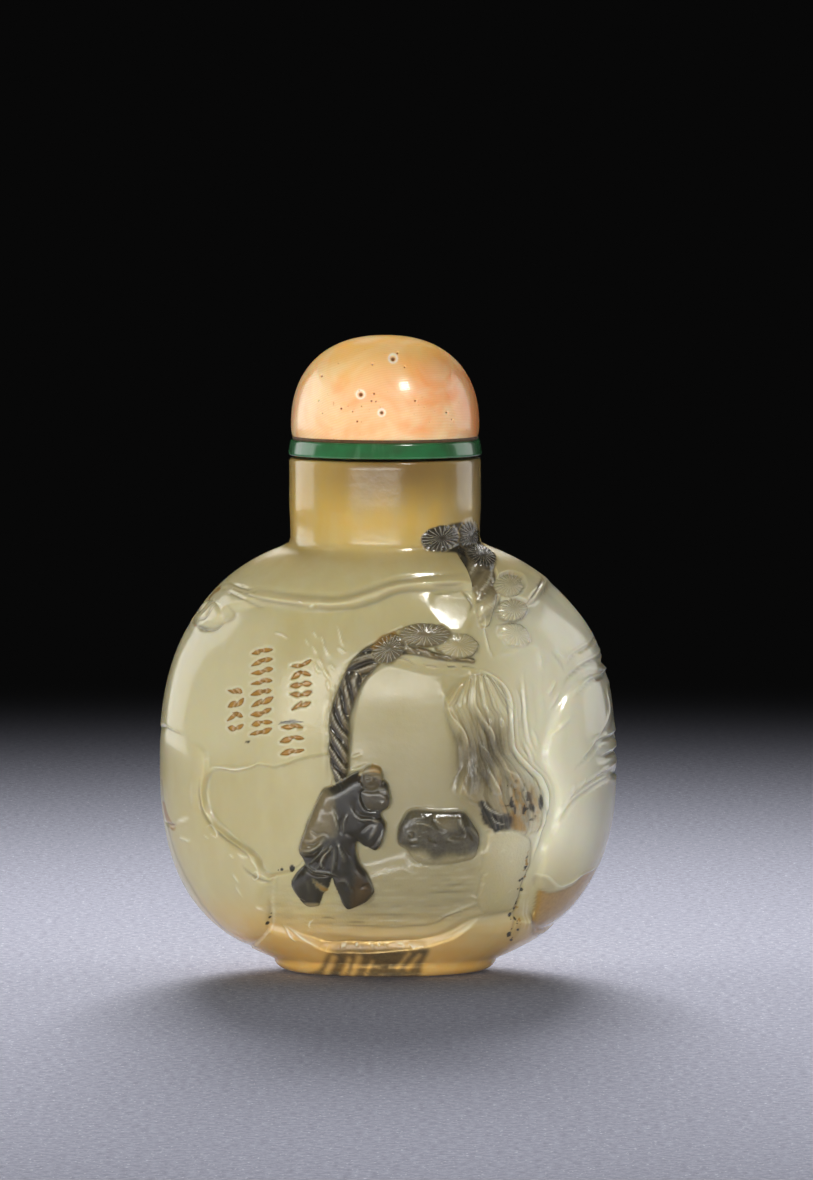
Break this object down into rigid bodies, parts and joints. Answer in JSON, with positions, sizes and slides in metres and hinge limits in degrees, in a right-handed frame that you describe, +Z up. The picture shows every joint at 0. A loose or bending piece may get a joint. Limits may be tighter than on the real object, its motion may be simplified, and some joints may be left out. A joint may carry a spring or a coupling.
{
  "type": "snuff bottle",
  "caption": "Small hollow carved agate bottle for powdered snuff, with a relief scene on its face, a flat oval foot and a domed lift-out stopper on a collar.",
  "frame": {"origin": "centre of the flat foot, on the surface that the bottle stands on", "axes": "+Z up along the neck, carved face towards -Y, +X to the right of the carved face"},
  "size_m": [0.0516, 0.0325, 0.0715],
  "materials": {
    "honey_agate": "polished translucent honey-grey agate with dark inclusions",
    "pale_coral": "polished orange-pink coral",
    "green_stone": "polished dark green stone",
    "cork": "plain cork"
  },
  "bodies": {
    "root": {"bottle": "honey_agate", "stopper_dome": "pale_coral", "stopper_collar": "green_stone", "stopper_cork": "cork"}
  },
  "joints": []
}
